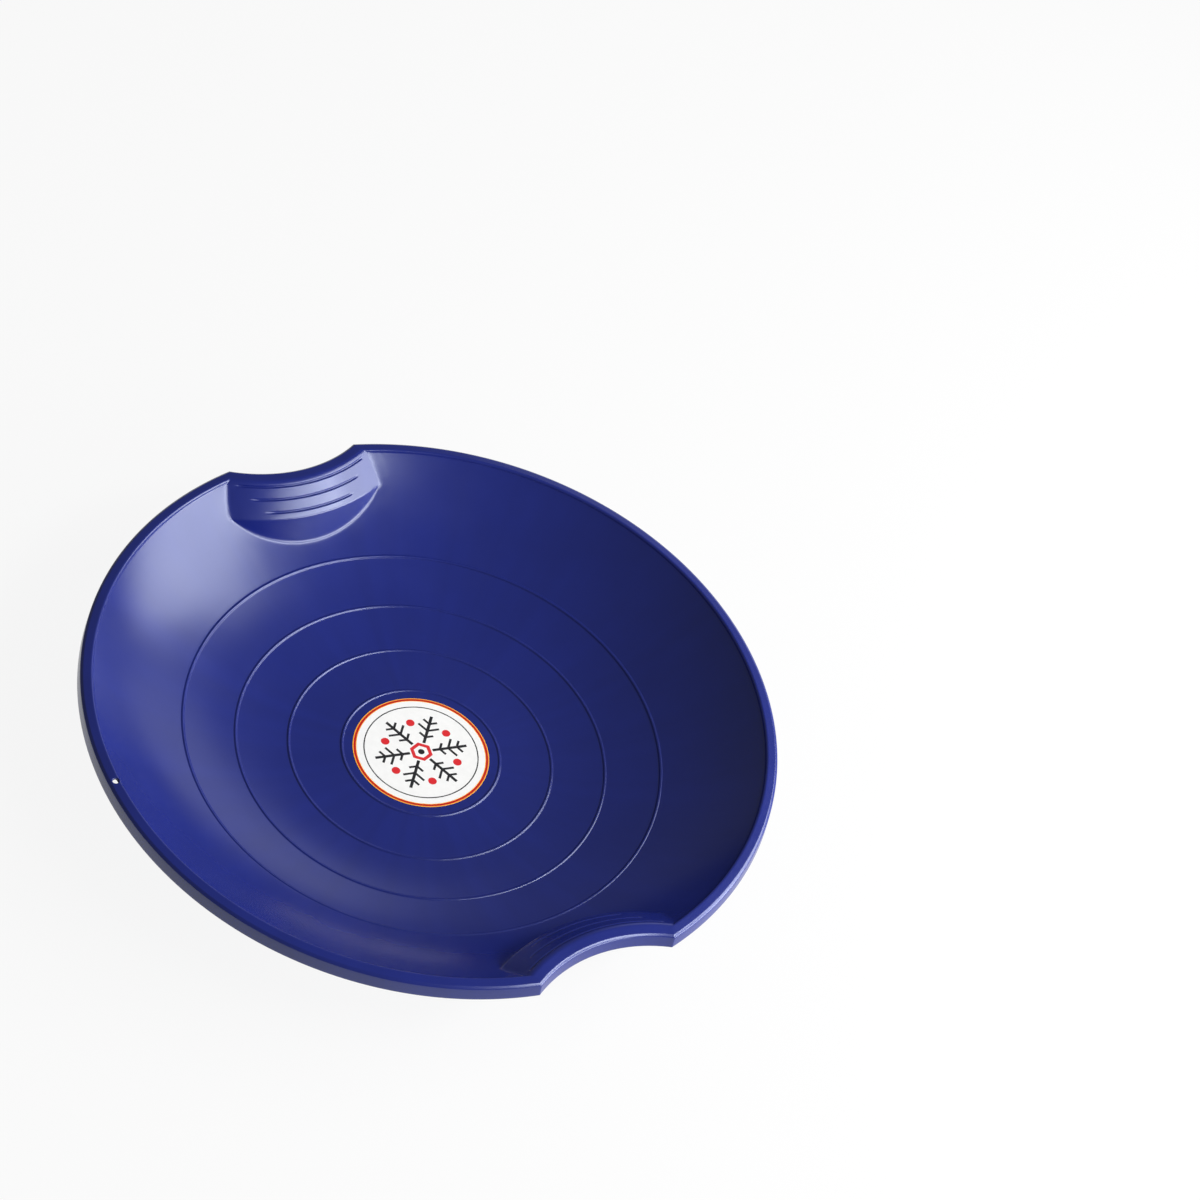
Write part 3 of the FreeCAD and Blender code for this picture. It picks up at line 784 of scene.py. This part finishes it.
def make_label_mesh(label):
    """The label: a thin disc with a softly cut edge, turned from its section."""
    top = label.height + label.thickness
    cut = label.thickness * 0.4
    section = [(0, label.height), (label.radius - cut, label.height)]
    section += [tuple(point) for point in round_corner(
        (label.radius, label.height), (label.radius, top), (0, top), cut, 3)]
    section += [(reach, top) for reach in (label.radius * 0.8, label.radius * 0.4, 0)]
    bm = bmesh.new()
    verts = [bm.verts.new((reach, 0, height)) for reach, height in section]
    edges = [bm.edges.new(pair) for pair in zip(verts, verts[1:])]
    bmesh.ops.spin(
        bm, geom=verts + edges, cent=(0, 0, 0), axis=(0, 0, 1), dvec=(0, 0, 0),
        angle=math.tau, steps=LABEL_COLUMNS, use_merge=True, use_duplicate=False)
    bmesh.ops.remove_doubles(bm, verts=bm.verts, dist=MERGE)
    bmesh.ops.recalc_face_normals(bm, faces=bm.faces)
    for face in bm.faces:
        face.smooth = abs(face.normal.z) < 0.999
    return bm


class SLED_OT_make_shell(bpy.types.Operator):
    """Model the moulded shell with its hand-holds, ridges and rope hole"""

    bl_idname = "sled.make_shell"
    bl_label = "Moulded shell"

    def execute(self, context):
        scene = context.scene
        shell = add_object("moulded_shell", make_shell_mesh(scene.sled_dish, scene.sled_hold),
                           shell_material(scene.sled_look))
        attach(shell, "root")
        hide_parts("saucer_shell")
        return {"FINISHED"}


class SLED_OT_make_label(bpy.types.Operator):
    """Model the printed label in the middle of the floor"""

    bl_idname = "sled.make_label"
    bl_label = "Floor label"

    def execute(self, context):
        scene = context.scene
        label = add_object("floor_label", make_label_mesh(scene.sled_label),
                           label_material(scene.sled_label, scene.sled_look))
        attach(label, "root")
        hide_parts("centre_label")
        return {"FINISHED"}


def add_softbox(lamp, brightness):
    """A softbox that looks at the middle of the sled."""
    bearing, rise = math.radians(lamp.bearing), math.radians(lamp.rise)
    light = bpy.data.lights.new(lamp.name + "_softbox", "AREA")
    light.shape = "RECTANGLE"
    light.size, light.size_y = lamp.width, lamp.tall
    light.energy = math.pi * lamp.width * lamp.tall * brightness
    item = bpy.data.objects.new(light.name, light)
    bpy.context.scene.collection.objects.link(item)
    out = Vector((math.cos(rise) * math.cos(bearing), math.cos(rise) * math.sin(bearing), math.sin(rise)))
    item.location = out * lamp.distance
    item.rotation_mode = "QUATERNION"
    item.rotation_quaternion = (
        (-out).to_track_quat("-Z", "Y") @ Quaternion((0, 0, 1), math.radians(lamp.lean)))
    item.visible_camera = False


def floor_material(stage):
    """Matt studio paint, seen nearly white by the eye and in reflections; it keeps the sled's shadow."""
    material, tree, output = new_material("matt_studio_paint")
    paint = add_node(tree, "ShaderNodeBsdfDiffuse", (("Color", (*stage.floor, 1)),))
    glow = add_node(tree, "ShaderNodeEmission", (("Color", (1, 1, 1, 1)), ("Strength", 1.0)))
    path = add_node(tree, "ShaderNodeLightPath")
    seen = path.outputs["Is Camera Ray"]
    for ray in ("Is Glossy Ray", "Is Transmission Ray"):
        seen = add_node(tree, "ShaderNodeMath", (
            (0, seen), (1, path.outputs[ray])), operation="MAXIMUM").outputs[0]
    share = add_node(tree, "ShaderNodeMath", ((0, seen), (1, stage.glow)), operation="MULTIPLY")
    mixed = add_node(tree, "ShaderNodeMixShader", (
        (0, share.outputs[0]), (1, paint.outputs[0]), (2, glow.outputs[0])))
    tree.links.new(mixed.outputs[0], output.inputs["Surface"])
    return material


class SLED_OT_make_stage(bpy.types.Operator):
    """Set up the pale floor, the softboxes and the camera"""

    bl_idname = "sled.make_stage"
    bl_label = "Studio"

    def execute(self, context):
        scene = context.scene
        stage = scene.sled_stage
        camera = bpy.data.objects.new("camera", bpy.data.cameras.new("camera"))
        scene.collection.objects.link(camera)
        back = Vector((math.cos(stage.elevation) * math.cos(stage.azimuth),
                       math.cos(stage.elevation) * math.sin(stage.azimuth), math.sin(stage.elevation)))
        camera.location = Vector(stage.aim) + back * stage.distance
        camera.rotation_mode = "QUATERNION"
        camera.rotation_quaternion = (
            (-back).to_track_quat("-Z", "Y") @ Quaternion((0, 0, 1), stage.roll))
        camera.data.lens = stage.lens
        camera.data.sensor_width = SENSOR
        scene.camera = camera
        scene.view_settings.view_transform = "Standard"
        bm = bmesh.new()
        bmesh.ops.create_circle(bm, cap_ends=True, segments=64, radius=FLOOR_RADIUS)
        add_object("studio_floor", bm, floor_material(stage))
        world = bpy.data.worlds.new("studio_room")
        world.use_nodes = True
        sky = world.node_tree.nodes["Background"]
        sky.inputs["Color"].default_value = (1, 1, 1, 1)
        sky.inputs["Strength"].default_value = stage.room
        scene.world = world
        for lamp in LAMPS:
            add_softbox(lamp, getattr(stage, lamp.name))
        return {"FINISHED"}


class SLED_PT_panel(bpy.types.Panel):
    """Sizes, colours and steps of the sled"""

    bl_idname = "SLED_PT_panel"
    bl_label = "Saucer Sled"
    bl_space_type = "VIEW_3D"
    bl_region_type = "UI"
    bl_category = "Sled"

    def draw(self, context):
        for name in PROPERTIES:
            group = getattr(context.scene, name)
            box = self.layout.box()
            for key in group.__annotations__:
                box.prop(group, key)
        for step in STEPS:
            self.layout.operator(step.bl_idname)


PROPERTIES = {
    "sled_dish": SledDish,
    "sled_hold": SledHold,
    "sled_label": SledLabel,
    "sled_look": SledLook,
    "sled_stage": SledStage,
}
STEPS = (SLED_OT_make_shell, SLED_OT_make_label, SLED_OT_make_stage)
CLASSES = (*PROPERTIES.values(), *STEPS, SLED_PT_panel)


def register():
    """Registers the classes and gives the scene its groups of sizes."""
    for item in CLASSES:
        bpy.utils.register_class(item)
    for name, group in PROPERTIES.items():
        setattr(bpy.types.Scene, name, bpy.props.PointerProperty(type=group))


def unregister():
    """Takes the groups and the classes away again."""
    for name in PROPERTIES:
        delattr(bpy.types.Scene, name)
    for item in reversed(CLASSES):
        bpy.utils.unregister_class(item)


def main():
    """Makes everything once."""
    register()
    bpy.ops.sled.make_shell()
    bpy.ops.sled.make_label()
    bpy.ops.sled.make_stage()


if __name__ == "__main__":
    main()
